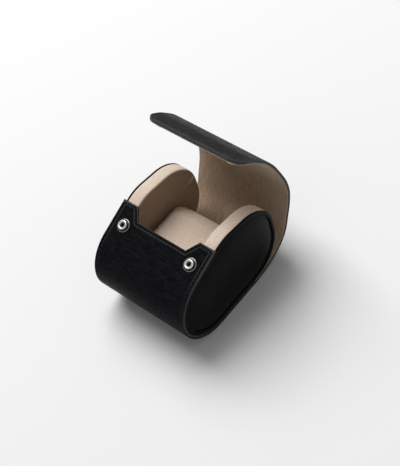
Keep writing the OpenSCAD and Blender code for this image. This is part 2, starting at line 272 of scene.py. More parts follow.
# %% The open path
path_step = 0.2
path_s = np.arange(outline_l, strap_end + path_step / 2, path_step)
shares = [smooth((path_s - b + bend_half) / (2 * bend_half)) for b in bend_places]
path_turn = sum(a * w for a, w in zip(bend_angles, shares))
closed_path = closed_outside(path_s)
steps = np.diff(closed_path, axis=0)
half_turn = -(path_turn[1:] + path_turn[:-1]) / 2
steps = turned(steps, (0, 0), half_turn)
open_path = np.vstack([closed_path[:1], closed_path[0] + np.cumsum(steps, axis=0)])
for k, (b, w) in enumerate(zip(bend_places, shares)):
    i = int(np.searchsorted(path_s, b + bend_half))
    shift = opened(closed_path[i], k) - open_path[i]
    open_path = open_path + w[:, None] * shift
    print("bend", k, "shift", shift.round(3), "mm")


def strap_at(s, h):
    """Y, Z and the normal's angle of a place on the strap, h above its suede face."""
    s = np.asarray(s, float)
    closed = closed_outside(s)
    y, z = (np.where(s > outline_l, np.interp(s, path_s, open_path[:, i]), closed[..., i])
            for i in (0, 1))
    turn = normal_at(s) - np.interp(s, path_s, path_turn)
    out = np.asarray(h) - sheet_t
    return y + out * np.cos(turn), z + out * np.sin(turn), turn


print("free edge", [round(float(x), 1) for x in strap_at(strap_end, sheet_t)[:2]])

# %% [markdown]
# ## Working by hand, in code
# Blender's operators act on whatever is selected, so `choose` clears the selection before it
# selects the pieces to work on. `pick` selects faces, edges or corners in edit mode by where
# they are, and `keep` writes values onto a mesh that its finish can read later.

# %% Small helpers
def deselect():
    if bpy.context.object and bpy.context.object.mode != "OBJECT":
        bpy.ops.object.mode_set(mode="OBJECT")
    bpy.ops.object.select_all(action="DESELECT")


def choose(*pieces):
    """Selects these pieces and nothing else, the first of them active."""
    deselect()
    for piece in pieces:
        piece.select_set(True)
    bpy.context.view_layer.objects.active = pieces[0]


def select_all():
    bpy.ops.mesh.select_all(action="SELECT")


def edit(piece, kind="FACE"):
    choose(piece)
    bpy.ops.object.mode_set(mode="EDIT")
    bpy.ops.mesh.select_mode(type=kind)
    select_all()


def done():
    bpy.ops.object.mode_set(mode="OBJECT")


def pick(piece, kind, test):
    """Selects the faces, edges or verts whose middle passes a test."""
    mesh = bmesh.from_edit_mesh(piece.data)
    for part in (*mesh.verts, *mesh.edges, *mesh.faces):
        part.select = False
    for part in getattr(mesh, kind):
        ring = [part] if kind == "verts" else part.verts
        if test(sum((v.co for v in ring), Vector()) / len(ring)):
            part.select_set(True)
    mesh.select_flush_mode()
    bmesh.update_edit_mesh(piece.data)


def apply(piece, kind, **settings):
    """Adds a modifier, sets it and applies it."""
    choose(piece)
    modifier = piece.modifiers.new(kind.title(), kind)
    for name, value in settings.items():
        setattr(modifier, name, value)
    bpy.ops.object.modifier_apply(modifier=modifier.name)


def places(piece):
    co = np.zeros(len(piece.data.vertices) * 3)
    piece.data.vertices.foreach_get("co", co)
    return co.reshape(-1, 3)


def move_to(piece, co):
    piece.data.vertices.foreach_set("co", np.asarray(co, np.float32).ravel())
    piece.data.update()


def smooth_out(piece, angle=40):
    """Turns the faces outwards and shades all but the sharp edges smooth."""
    edit(piece)
    bpy.ops.mesh.normals_make_consistent(inside=False)
    done()
    bpy.ops.object.shade_smooth_by_angle(angle=math.radians(angle))


def copy_of(piece, name):
    twin = piece.copy()
    twin.data = piece.data.copy()
    twin.name = twin.data.name = name
    scene.collection.objects.link(twin)
    return twin


def named(name):
    piece = bpy.context.object
    piece.name = piece.data.name = name
    return piece


def joined(pieces, name):
    choose(*pieces)
    bpy.ops.object.join()
    return named(name)


def keep(piece, name, value):
    """Keeps one number, or one place, for each corner of the mesh."""
    kind, field = ("FLOAT", "value") if value.ndim == 1 else ("FLOAT_VECTOR", "vector")
    kept_on = piece.data.attributes.new(name, kind, "POINT")
    kept_on.data.foreach_set(field, value.astype(np.float32).ravel())


print("helpers ready")

# %% [markdown]
# ## Leather, cut flat
# A leather worker cuts the strap flat, creases a line along its edge, sews along the crease
# and only then bends it. The same order works here. A plane gets the strap's size, three cuts
# and a deletion make the dip between the ears, a corner bevel rounds the free end, and insets
# with a small push, down and up again, make the crease. Cuts straight across give it places to
# bend, and Solidify and Bevel give it the thickness and rounded rim of real leather.

# %% Cut the strap flat
def cut_flat(name, height, inset=0.0, crease=0.0):
    """The whole strap, flat: X across, Y along, its upper face at height."""
    deselect()
    bpy.ops.mesh.primitive_plane_add(size=1)
    piece = named(name)
    edit(piece)
    bpy.ops.transform.resize(value=(case_w * MM, (strap_end - strap_start) * MM, 1))
    bpy.ops.transform.translate(value=(0, (strap_start + strap_end) / 2 * MM, height * MM))
    lip = (strap_start + lip_drop - ear_drop) * MM
    bpy.ops.mesh.bisect(plane_co=(0, lip, 0), plane_no=(0, 1, 0))
    lean = Vector((lip_drop - ear_drop, ear_half - lip_half, 0)).normalized()
    for side in (-1, 1):
        pick(piece, "faces", lambda m: m.y < lip)
        bpy.ops.mesh.bisect(
            plane_co=(side * lip_half * MM, lip, 0), plane_no=(side * lean.x, lean.y, 0))
    pick(piece, "faces", lambda m: m.y < lip and abs(m.x) < lip_half * MM)
    bpy.ops.mesh.delete(type="FACE")
    select_all()
    bpy.ops.mesh.dissolve_limited(angle_limit=math.radians(1))
    bpy.ops.mesh.select_mode(type="VERT")
    pick(piece, "verts", lambda m: m.y > (strap_end - 1) * MM)
    bpy.ops.mesh.bevel(affect="VERTICES", offset=tongue_corner * MM, segments=16)
    bpy.ops.mesh.select_mode(type="FACE")
    select_all()
    if inset:
        bpy.ops.mesh.inset(thickness=inset * MM)
        bpy.ops.mesh.select_all(action="INVERT")
        bpy.ops.mesh.delete(type="FACE")
        select_all()
    seam = []
    if crease:
        for width, push in ((rim_band_w, 0), (stitch_in - crease_w - rim_band_w, 0),
                            (crease_w, -crease), (crease_w, crease), (crease_w, 0)):
            bpy.ops.mesh.inset(thickness=width * MM)
            if push:
                bpy.ops.transform.translate(value=(0, 0, push * MM))
            if push < 0:
                mesh = bmesh.from_edit_mesh(piece.data)
                seam = [v.co / MM for v in next(f for f in mesh.faces if f.select).verts]
    return piece, seam


def cut_across(piece, places_along, places_across=()):
    """Cuts the strap straight across, and along where asked, so that it can bend there."""
    for normal, spots in (((0, 1, 0), places_along), ((1, 0, 0), places_across)):
        for spot in spots:
            select_all()
            bpy.ops.mesh.bisect(plane_co=[n * spot * MM for n in normal], plane_no=normal)
    done()
    print(piece.name, len(piece.data.polygons), "flat faces")


stitch_in, crease_w, crease_h, rim_band_w = 2.3, 0.5, 0.4, 0.9
bend_step, end_step, end_room, ripple_step = 2.0, 0.3, 0.7, 2.5
turn_in, turn_w, layer_gap, board_inset, suede_inset = 38.7, 0.2, 0.02, 0.12, 0.2
part_ends = [strap_start, outline_l + 40, outline_l + 78, outline_l + 105, strap_end]
along = np.arange(strap_start + 1, strap_end - 0.6, bend_step)
near_ends = [e + d for e in part_ends[1:-1] for d in (-end_step, end_step)]
along = sorted([s for s in along if min(abs(s - e) for e in part_ends) > end_room] + near_ends)

leather, seam = cut_flat("leather", sheet_t, crease=crease_h)
cut_across(leather, along)
backing, _ = cut_flat("backing", lining_t + board_t - layer_gap, inset=board_inset)
cut_across(backing, along, (-turn_in - turn_w, -turn_in, turn_in, turn_in + turn_w))
suede, _ = cut_flat("suede", lining_t - layer_gap, inset=suede_inset)
cut_across(suede, along, np.arange(-15, 16) * ripple_step)

# %% Thickness and rims
for sheet, thick, rim in ((leather, leather_t, 0.5), (backing, board_t, 0.28),
                          (suede, lining_t - layer_gap, 0.2)):
    apply(sheet, "SOLIDIFY", thickness=thick * MM, offset=-1)
    apply(sheet, "BEVEL", width=rim * MM, segments=3, limit_method="ANGLE",
          angle_limit=math.radians(75))
    print(sheet.name, len(sheet.data.polygons), "faces",
          [round(d / MM, 1) for d in sheet.dimensions])


# %% The painted edge highlight and crease shade
# The painted sheen is strongest near the ears and the free end. The levels below set the painted
# highlight on the rim and the ridge, and the level where nothing is painted.
ear_sheen_reach, ear_sheen_fade, tongue_sheen_from, tongue_sheen_fade = 15, 25, 60, 30
plain_side, edge_highlight_base = 0.45, 0.65


def keep_seam_shade_and_highlight(piece):
    """Keeps on the mesh how near the sewn line a place is, which the leather's finish reads to
    paint
    light and shade: 0 in the line itself, painted dark as shade, up to 1 on the rim and the ridge
    beside the line, painted lighter as a highlight, most of all at the ears and the free end, and
    plain_side elsewhere, where nothing is painted."""
    flat = places(piece)[:, None, :2] / MM
    a = np.array([(corner.x, corner.y) for corner in seam])
    side = np.roll(a, -1, axis=0) - a
    share = ((flat - a) * side).sum(-1) / (side ** 2).sum(-1)
    away = np.linalg.norm(flat - a - np.clip(share, 0, 1)[..., None] * side, axis=-1).min(1)
    level = (a[:, 1] > flat[..., 1]) != (a[:, 1] + side[:, 1] > flat[..., 1])
    slope = side[:, 0] / np.where(side[:, 1] == 0, 1e-9, side[:, 1])
    crossed = level & (flat[..., 0] < a[:, 0] + (flat[..., 1] - a[:, 1]) * slope)
    within = crossed.sum(1) % 2 == 1
    ridge = (away > 0.6 * crease_w) & (away < 1.4 * crease_w)
    s = flat[:, 0, 1]
    painted_sheen = np.maximum(1 - smooth((s - strap_start - ear_sheen_reach) / ear_sheen_fade),
                         smooth((s - outline_l - tongue_sheen_from) / tongue_sheen_fade))
    painted_highlight = np.where(within, ridge, away > stitch_in - 0.8)
    value = np.where(painted_highlight, edge_highlight_base + (1 - edge_highlight_base) * painted_sheen, plain_side)
    value[away < 0.3 * crease_w] = 0
    keep(piece, "seam_shade_and_highlight", value)
    print(piece.name, int((value > 0.5).sum()), "rubbed corners and", int((value == 0).sum()),
          "in the line")


keep_seam_shade_and_highlight(leather)

# %% [markdown]
# ## The saddle stitch
# The thread shows as short slanted dashes that lie in the crease. One dash is modelled, as a
# ball stretched into a grain of rice, and copied along the seam. The seam is walked from
# corner to corner, so that a stitch ends at each corner, as a sewer would place it.

# %% One stitch
stitch_pitch, stitch_l, thread_w, thread_sink, stitch_slant = 2.9, 2.45, 0.52, 0.27, 5
deselect()
bpy.ops.mesh.primitive_uv_sphere_add(segments=8, ring_count=6, radius=0.5)
stitch = named("stitch")
edit(stitch)
bpy.ops.transform.resize(value=(stitch_l * MM, thread_w * MM, thread_w * 0.9 * MM))
done()
print("stitch", len(stitch.data.polygons), "faces")


# %% Stitches along the seam
def seam_stitches(corner_angle=20):
    """Where each stitch lies on the flat strap, and which way it points."""
    ring = [Vector((p.x, p.y)) for p in seam]
    turns = []
    for i, p in enumerate(ring):
        before, after = p - ring[i - 1], ring[(i + 1) % len(ring)] - p
        turns.append(abs(before.angle(after)) > math.radians(corner_angle))
    first = turns.index(True)
    ring, turns = ring[first:] + ring[:first], turns[first:] + turns[:first]
    runs, run = [], [ring[0]]
    for p, corner in zip(ring[1:] + ring[:1], turns[1:] + turns[:1]):
        run.append(p)
        if corner:
            runs.append(run)
            run = [p]
    laid = []
    for run in runs:
        lengths = np.concatenate([[0], np.cumsum([(b - a).length for a, b in zip(run, run[1:])])])
        xs, ys = [p.x for p in run], [p.y for p in run]
        count = max(1, round(lengths[-1] / stitch_pitch))
        for n in range(count):
            at = (n + 0.5) * lengths[-1] / count
            a, b = (np.array([np.interp(at + d, lengths, xs), np.interp(at + d, lengths, ys)])
                    for d in (-0.4, 0.4))
            laid.append(((a + b) / 2, math.atan2(*(b - a)[::-1])))
    return laid


stitches = seam_stitches()
thread = []
for (x, s), angle in stitches:
    one = copy_of(stitch, "dash")
    one.data.transform(
        Matrix.Translation(Vector((x, s, sheet_t - thread_sink)) * MM)
        @ Matrix.Rotation(angle + math.radians(stitch_slant), 4, "Z"))
    thread.append(one)
thread = joined(thread, "thread")
bpy.data.objects.remove(stitch)
print(len(stitches), "stitches,", len(thread.data.polygons), "faces")

# %% [markdown]
# ## Cut into parts and bent
# Each piece bends across one joint, so the long strap is cut into four where the CAD's parts
# are rigid, about in the middle between two bends, and the parts meet face to face. Then every
# corner of the mesh is moved from its flat place onto the strap's path. The flat place is kept
# on the mesh as an attribute, so that the grain can follow the leather round its bends.


# %% Parting and bending
def part_of(sheet, name, start, end):
    """A copy of a sheet between two places along the strap, its cut ends closed."""
    piece = copy_of(sheet, name)
    edit(piece)
    for at, way in ((start, -1), (end, 1)):
        if strap_start < at < strap_end:
            bpy.ops.mesh.bisect(plane_co=(0, at * MM, 0), plane_no=(0, way, 0), use_fill=True,
                                clear_outer=True)
            select_all()
    done()
    return piece


def stitches_of(name, start, end):
    """The stitches whose middle lies between two places along the strap."""
    piece = copy_of(thread, name)
    edit(piece)
    each = len(thread.data.vertices) // len(stitches)
    mesh = bmesh.from_edit_mesh(piece.data)
    mesh.verts.ensure_lookup_table()
    for v in mesh.verts:
        v.select = not start <= stitches[v.index // each][0][1] < end
    mesh.select_flush(True)
    bmesh.update_edit_mesh(piece.data)
    bpy.ops.mesh.delete(type="VERT")
    done()
    return piece


def bend_onto_path(piece):
    flat = places(piece)
    keep(piece, "flat", flat)
    y, z, _ = strap_at(flat[:, 1] / MM, flat[:, 2] / MM)
    move_to(piece, np.stack([flat[:, 0], y * MM, z * MM], -1))


def bend_ends(k):
    """Where bend k starts and ends in the open flap, along the mean of its two directions."""
    mean = sum(float(strap_at(bend_places[k] + d, 0)[2]) for d in (-bend_half, bend_half)) / 2
    way = np.array([-math.sin(mean), math.cos(mean)]) * bend_half
    pivot = opened(pivots[k], k - 1)
    return [(0, (pivot[0] + d * way[0]) * MM, (pivot[1] + d * way[1]) * MM) for d in (-1, 1)]


part_names = ["wrap", "back", "shoulder", "tongue"]
stands_for = [("wrap",), ("back",), ("shoulder",), ("crown", "tongue")]
strap_parts = {}
for k, part in enumerate(part_names):
    start, end = part_ends[k], part_ends[k + 1]
    for sheet, layer in ((leather, "leather"), (backing, "board"), (suede, "lining")):
        piece = part_of(sheet, f"{part}_{layer}_sheet", start, end)
        strap_parts[part, layer] = piece
    strap_parts[part, "thread"] = stitches_of(f"{part}_stitches", start, end)
print(len(strap_parts), "strap pieces")

# %% The suede's own folds
# Suede that is bent inwards gathers: low ripples run across it near the three upper bends.
ripple_h, ripple_reach, plain_rim, rim_fade = 0.16, 7.0, 2, 4
for part in part_names[1:]:
    piece = strap_parts[part, "lining"]
    flat = places(piece)
    under = flat[:, 2] < 0.1 * MM
    s, x = flat[:, 1] / MM, flat[:, 0] / MM
    near = sum(np.exp(-((s - b) / ripple_reach) ** 2) for b in bend_places)
    edge = smooth((case_w / 2 - plain_rim - np.abs(x)) / rim_fade)
    strength = 0.6 + 0.4 * np.sin(x * 0.23 + s * 0.05)
    ripple = np.sin(s * 1.15 + 0.9 * np.sin(x * 0.11 + 1.3)) * strength
    flat[under, 2] -= (ripple_h * near * edge * (ripple + 1) * MM)[under]
    move_to(piece, flat)
print("rippled", part_names[1:])

# %% Turned in over the caps
# Where the wrap lies on the caps, the suede stops short and the board is turned in over it.
# Both die out where the strap leaves the caps and its suede can be seen.
suede_edge, off_caps, off_over = turn_in - 1.1, 8, 10
for layer in ("lining", "board"):
    piece = strap_parts["wrap", layer]
    flat = places(piece)
    x, s = np.abs(flat[:, 0]) / MM, flat[:, 1] / MM
    on_caps = 1 - smooth((s - outline_l + off_caps) / off_over)
    if layer == "lining":
        room = turn_in - 0.05 - suede_edge
        drawn_in = suede_edge + (x - suede_edge) * room / (x.max() - suede_edge)
        drawn_in = x + (drawn_in - x) * on_caps
        flat[:, 0] = np.sign(flat[:, 0]) * np.where(x > suede_edge, drawn_in, x) * MM
    else:
        under = (flat[:, 2] < (lining_t + 0.35) * MM) & (x > turn_in + 0.1)
        flat[:, 2] -= under * on_caps * (lining_t - 0.04) * MM
    move_to(piece, flat)
    print(piece.name, "turned in at", turn_in)

# %% Bend every strap piece
for piece in strap_parts.values():
    bend_onto_path(piece)
    smooth_out(piece)
for sheet in (leather, backing, suede, thread):
    bpy.data.objects.remove(sheet)
print("bent", sum(len(p.data.polygons) for p in strap_parts.values()), "faces")

# %% Each strap piece baked in place, the CAD nodes it stands for hidden
for (part, layer), piece in strap_parts.items():
    k = part_names.index(part)
    start, end = bend_ends(k)
    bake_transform(piece)
    if layer != "thread":
        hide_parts(*(f"{n}_{layer}" for n in stands_for[k]))

# %% [markdown]
# ## Turned shapes
# Cap rims, edge bands and domes run round the case's outline, and studs and sockets are round.
# All are made as on a lathe: a profile is drawn from the corners of a circle primitive, and
# Spin takes it round the X axis. For the caps, each turned place is then moved from its circle
# onto the outline: its angle becomes the distance along it, and its radius the offset.


# %% The lathe
def lathe(name, profile, steps, closed=True):
    """Spins a profile of (X, radius) once round the X axis. An open one gets flat ends."""
    deselect()
    bpy.ops.mesh.primitive_circle_add(vertices=len(profile), radius=1)
    piece = named(name)
    for v, (x, r) in zip(piece.data.vertices, profile):
        v.co = (x * MM, r * MM, 0)
    edit(piece, "EDGE")
    if not closed:
        ends = {0, len(profile) - 1}
        mesh = bmesh.from_edit_mesh(piece.data)
        for e in mesh.edges:
            e.select_set({v.index for v in e.verts} == ends)
        bmesh.update_edit_mesh(piece.data)
        bpy.ops.mesh.delete(type="EDGE")
        select_all()
    bpy.ops.mesh.spin(steps=steps, angle=2 * math.pi, center=(0, 0, 0), axis=(1, 0, 0))
    select_all()
    bpy.ops.mesh.remove_doubles(threshold=0.001 * MM)
    if not closed:
        select_all()
        bpy.ops.mesh.fill_holes(sides=0)
    done()
    return piece


def unrolled(co):
    """The place along the outline and the offset that each turned place stands for."""
    r = np.hypot(co[:, 1], co[:, 2]) / MM
    return (np.arctan2(co[:, 2], co[:, 1]) / (2 * math.pi) % 1) * outline_l, r


def onto_outline(piece):
    co = places(piece)
    s, r = unrolled(co)
    co[:, 1:] = outline_at(s, r) * MM
    move_to(piece, co)


def arc(x, r, radius, start, end, count):
    """Points of a profile on an arc, from one angle to another, 0 pointing away from the axis."""
    return [(x + radius * math.sin(math.radians(a)), r + radius * math.cos(math.radians(a)))
            for a in np.linspace(start, end, count)]


print("lathe ready")

# %% [markdown]
# ## The end caps
# A cap is a stiff core. Suede is drawn over its rim and its inner face, with a soft corner
# between them. On the outside a thin band of leather is turned in over the edge, and a padded
# panel fills the middle, with a crease where the two meet.

# %% Cap profiles
axis_r = 7
rim_profile = (
    [(cap_in - 0.25, axis_r), (cap_in - 0.24, 14), (cap_in - 0.2, 19), (cap_in - 0.1, 23),
     (cap_in + 0.05, 26)]
    + arc(cap_in + 1.75, cap_r - 1.8, 1.72, -90, 0, 9)
    + [(cap_in + 3.4, cap_r - 0.03), (cap_in + 5.5, cap_r), (cap_in + 7.6, cap_r - 0.04),
       (cap_in + 9, cap_r - 0.16), (cap_in + 9.8, cap_r - 0.42), (edge_in - 0.02, cap_r - 1)]
    + [(edge_in - 0.02, axis_r)])
band_profile = (
    arc(edge_in + 0.45, cap_r - 0.45, 0.44, -90, 0, 5)
    + arc(cap_out - 0.9, cap_r - 0.9, 0.9, 0, 90, 7)
    + arc(cap_out - 0.75, cap_r - edge_w + 0.85, 0.75, 90, 180, 6)
    + [(edge_in, cap_r - edge_w + 0.1)])
dome_r = cap_r - edge_w - 0.05
dome_top = cap_out + dome_h
dome_profile = [(edge_in - 0.1, axis_r), (edge_in - 0.1, dome_r - 0.1), (edge_in + 0.25, dome_r)]
for t in np.linspace(0, 1, 16) ** 1.6:
    rise = 1 - (1 - t) ** 3.2
    dome_profile.append((edge_in + 0.55 + (dome_top - edge_in - 0.55) * rise,
                         dome_r - 0.05 - (dome_r - axis_r - 0.05) * t))
print("profiles", len(rim_profile), len(band_profile), len(dome_profile), "points")

# %% The pleat
cap_steps = 216
pleat_s, pleat_h, pleat_w = 49 * outline_l / cap_steps, 1.3, 1.0


def pleat(piece, side):
    """The suede is gathered in one small fold, high at the back of the cap's inner face. The tone
    kept on the mesh is painted shade: 1 where suede faces the well, which is darkened there, and 0
    on the rim and along the fold, so the fold shows as a painted highlight."""
    co = places(piece)
    x = np.abs(co[:, 0]) / MM
    s, r = unrolled(co)
    across = np.exp(-((s - pleat_s) / pleat_w) ** 2) * smooth((r - 16) / 8)
    keep(piece, "painted_well_shade", smooth((cap_in + 0.9 - x) / 0.8) * (1 - across))
    fold = across * smooth((cap_r - 1 - r) / 3)
    co[:, 0] -= side * (x < cap_in + 1) * fold * pleat_h * MM
    move_to(piece, co)


# %% Two caps
cap_kinds = {"cap_cover": (rim_profile, False), "cap_band": (band_profile, True),
             "cap_dome": (dome_profile, False)}
cap_pieces = {}
for side, word in ((-1, "left"), (1, "right")):
    for kind, (profile, closed) in cap_kinds.items():
        piece = lathe(f"{word}_{kind}", [(side * x, r) for x, r in profile], cap_steps, closed)
        if kind == "cap_cover":
            pleat(piece, side)
        onto_outline(piece)
        smooth_out(piece, 50)
        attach(piece, "case")
        cap_pieces[word, kind] = piece
    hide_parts(f"{word}_cap_core", f"{word}_cap_lining")
    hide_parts(f"{word}_cap_edge")
    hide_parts(f"{word}_cap_pad", f"{word}_cap_panel")
    faces = sum(len(cap_pieces[word, kind].data.polygons) for kind in cap_kinds)
    print(word, "cap", faces, "faces")

# %% [markdown]
# ## The press studs
# A stud is a polished ring with a rolled lip and a waist, on a wider foot. The socket under
# the tongue is a cup that drops over it, with a split spring ring in a groove. Both are turned
# to fine profiles and then stood on the strap with their axis along its normal.

# %% Studs and sockets
foot_d, ring_d, ring_h, hole_d, stud_steps = 9.6, 7, 2, 3, 96
socket_roof, wire_d = 0.4, 0.5
top = foot_t + ring_h
lip_round, funnel, waist = 0.7, 1.2, 0.21
stud_profile = (
    [(0.02, hole_d / 2), (0.02, foot_d / 2 - 0.25)]
    + arc(foot_t / 2 + 0.01, foot_d / 2 - 0.24, 0.23, -60, 60, 5)
    + [(foot_t + 0.01, foot_d / 2 - 0.5), (foot_t, ring_d / 2 - waist + 0.25),
       (foot_t + 0.12, ring_d / 2 - waist)]
    + arc(top - lip_round, ring_d / 2 - lip_round, lip_round, -20, 85, 10)
    + arc(top - funnel, hole_d / 2 + funnel, funnel, 92, 180, 10))
dimple_d, dimple_z, dimple_count = 1.6, foot_t + 0.72, 6
# How much of the metal's colour is left where shade is painted on the stud: in the waist and the
# hole, and on the foot's rim.
in_shade, foot_painted_light = 0.03, 0.6
dimple_at = ring_d / 2 + dimple_d * 0.2
groove_r = ring_d / 2 + wire_d
socket_profile = (
    [(0, 1.5), (0, socket_d / 2 - 0.9)]
    + arc(-0.25, socket_d / 2 - 0.75, 0.25, 80, -80, 7)
    + [(-0.52, 4.75), (-0.8, 4.6)]
    + arc(0.3 - socket_h, 4.2, 0.3, 0, -90, 5)
    + arc(0.2 - socket_h, groove_r - 0.05, 0.2, -90, -180, 4)
    + [(0.3 - socket_h, groove_r - 0.25), (0.32 - socket_h, groove_r), (-socket_roof, groove_r),
       (-socket_roof, 1.5)])


def stand_on(piece, x, s, h):
    """Stands a turned piece on the strap at s, with its axis along the leather's normal."""
    y, z, turn = (float(a) for a in strap_at(s, h))
    out = Vector((0, math.cos(turn), math.sin(turn)))
    uphill = Vector((0, math.sin(turn), -math.cos(turn)))
    upright = Matrix((out, Vector((1, 0, 0)), uphill)).transposed().to_4x4()
    piece.data.transform(Matrix.Translation(Vector((x, y, z)) * MM) @ upright)


def dimpled(ring):
    """Presses six round dimples into a stud's waist, and keeps on the mesh how much of the metal's
    colour is left where shade is painted: 1 on the lip, less on the foot's rim, next to nothing in
    the waist and the hole, and 0 in the dimples, which are painted dark."""
    balls = []
    for n in range(dimple_count):
        turn = 2 * math.pi * n / dimple_count
        y, z = dimple_at * math.cos(turn) * MM, dimple_at * math.sin(turn) * MM
        deselect()
        bpy.ops.mesh.primitive_uv_sphere_add(segments=24, ring_count=16, radius=dimple_d / 2 * MM,
                                             location=(dimple_z * MM, y, z))
        balls.append(named("dimple"))
    centres = [np.array(ball.location) for ball in balls]
    for ball in balls:
        apply(ring, "BOOLEAN", operation="DIFFERENCE", object=ball, solver="EXACT")
        bpy.data.objects.remove(ball)
    co = places(ring)
    height, out = co[:, 0] / MM, np.hypot(co[:, 1], co[:, 2]) / MM
    stud_painted_light = np.where(height < top - lip_round, in_shade, 1.0)
    stud_painted_light = np.where(out > foot_d / 2 - 0.45, foot_painted_light, stud_painted_light)
    stud_painted_light = np.where(out < hole_d / 2 + 0.25, in_shade, stud_painted_light)
    for centre in centres:
        stud_painted_light[np.linalg.norm(co - centre, axis=1) < dimple_d * 0.51 * MM] = 0
    keep(ring, "stud_painted_light", stud_painted_light)


def pair(name, profile, s, h, pressed=None):
    """Two copies of a turned piece, one at each stud, joined into one."""
    two = []
    for x in (-stud_x, stud_x):
        one = lathe(name, profile, stud_steps)
        if pressed:
            smooth_out(one)
            pressed(one)
        stand_on(one, x, s, h)
        two.append(one)
    piece = joined(two, name)
    smooth_out(piece)
    return piece


studs = pair("stud_rings", stud_profile, stud_s, sheet_t, pressed=dimpled)
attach(studs, "case")
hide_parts("snap_studs")
sockets = pair("socket_cups", socket_profile, outline_l + stud_s, lining_t)
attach(sockets, "tongue")
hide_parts("snap_sockets")
print("studs", len(studs.data.polygons), "sockets", len(sockets.data.polygons), "faces")

# %% [markdown]
# ## The cushion
# The cushion is a block of foam in a sewn suede cover: a wide band all round, and a panel at
# each end, joined by a seam. Foam swells the cover between its seams, and the seams pull it in
# and pucker it. The block is bevelled to its rough shape, remeshed into small even faces, and
# blown up a little with the cloth solver while the seams are held. The solver likes large
# things, so the mesh is made twenty times as large for it, and small again afterwards.

# %% Cushion block
cushion_half, cushion_d, cushion_h, cushion_round = cap_in - 1, 60, 40, 15
cushion_z = sheet_t + cushion_h / 2
swell, corner_w, voxel = 0.9, 3.2, 1.6
deselect()
bpy.ops.mesh.primitive_cube_add(size=1)
cushion = named("cushion")
edit(cushion)
bpy.ops.transform.resize(
    value=[(side - 2 * swell) * MM for side in (2 * cushion_half, cushion_d, cushion_h)])
bpy.ops.transform.translate(value=(0, 0, cushion_z * MM))
pick(cushion, "edges", lambda m: abs(m.x) < MM)
bpy.ops.mesh.bevel(offset=(cushion_round - swell) * MM, segments=10, affect="EDGES")
done()
apply(cushion, "BEVEL", width=corner_w * MM, segments=4, limit_method="ANGLE",
      angle_limit=math.radians(60))
apply(cushion, "REMESH", mode="VOXEL", voxel_size=voxel * MM)
print("cushion", len(cushion.data.polygons), "faces before it swells")

# %% Swell the cushion
seam_x, held_w = cushion_half - swell - 2.6, 0.9
grow, cloth_steps, most_swell = 20, 20, 1.6
block = places(cushion)
held = np.abs(np.abs(block[:, 0]) / MM - seam_x) < held_w
move_to(cushion, block * grow)
pins = cushion.vertex_groups.new(name="held seams")
pins.add([int(i) for i in np.flatnonzero(held)], 1.0, "REPLACE")
choose(cushion)
cloth = cushion.modifiers.new("Cover", "CLOTH")
for setting, value in (("quality", 5), ("mass", 0.3), ("use_pressure", True),
                       ("uniform_pressure_force", 4), ("vertex_group_mass", "held seams"),
                       ("shrink_min", -0.03)):
    setattr(cloth.settings, setting, value)
cloth.settings.effector_weights.gravity = 0
cloth.point_cache.frame_start, cloth.point_cache.frame_end = 1, cloth_steps
for number in range(1, cloth_steps + 1):
    scene.frame_set(number)
bpy.ops.object.modifier_apply(modifier=cloth.name)
scene.frame_set(1)
move = places(cushion) / grow - block
far = np.linalg.norm(move, axis=1)
print("swelling", round(float(far.max()) / MM, 2), "mm at most before the limit")
move *= np.minimum(1, most_swell * MM / np.maximum(far, 1e-9))[:, None]
move_to(cushion, block + move)

# %% Seams, puckers and a flat base
groove_h, groove_w, pucker_h, pucker_w, arch_h = 0.55, 0.9, 0.22, 4.5, 0.35
low_room, high_room = 0.2, 0.6
co = places(cushion)
x, y, z = (co / MM).T
inward = np.stack([0 * x, -y / (cushion_d / 2), -(z - cushion_z) / (cushion_h / 2)], -1)
inward /= np.maximum(np.linalg.norm(inward, axis=1), 1e-6)[:, None]
off_axis = np.hypot(y / (cushion_d / 2), (z - cushion_z) / (cushion_h / 2))
on_rim = smooth((off_axis - 0.75) / 0.2)
round_s = np.arctan2(z - cushion_z, y)
from_seam = np.abs(x) - seam_x
groove = groove_h * np.exp(-(from_seam / groove_w) ** 2)
pucker = pucker_h * np.exp(-(from_seam / pucker_w) ** 2) * (
    np.sin(round_s * 41 + 2 * np.sin(round_s * 5)) * 0.6 + np.sin(round_s * 67 + 1.1) * 0.4)
arch = arch_h * (1 - (x / cushion_half) ** 2)
co += inward * ((groove + pucker) * on_rim)[:, None] * MM - inward * (arch * on_rim)[:, None] * MM
low = np.array([-cushion_half, -cushion_d / 2, sheet_t]) - low_room
high = np.array([cushion_half, cushion_d / 2, sheet_t + cushion_h]) + high_room
co = np.clip(co, low * MM, high * MM)
co[:, 2] = np.maximum(co[:, 2], sheet_t * MM)
move_to(cushion, co)
apply(cushion, "SUBSURF", levels=1, render_levels=1)
smooth_out(cushion, 80)
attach(cushion, "case")
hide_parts("cushion_core", "cushion_cover")
print("cushion", len(cushion.data.polygons), "faces",
      [round(d / MM, 1) for d in cushion.dimensions])

# %% [markdown]
# ## Effects that finishes share
# A finish is built from effects. Each effect is a node group with named sockets, made once and
# placed in every material that needs it with its own values: leather grain, suede nap, and
# the light wear that handling leaves.

# %% Building node groups
def effect(name, **sizes):
    """Starts a node group that takes a place and some sizes."""
    tree = bpy.data.node_groups.new(name, "ShaderNodeTree")
    tree.interface.new_socket("Place", in_out="INPUT", socket_type="NodeSocketVector")
    for label, size in sizes.items():
        socket = tree.interface.new_socket(label, in_out="INPUT", socket_type="NodeSocketFloat")
        socket.default_value = size
    return tree, tree.nodes.new("NodeGroupInput").outputs


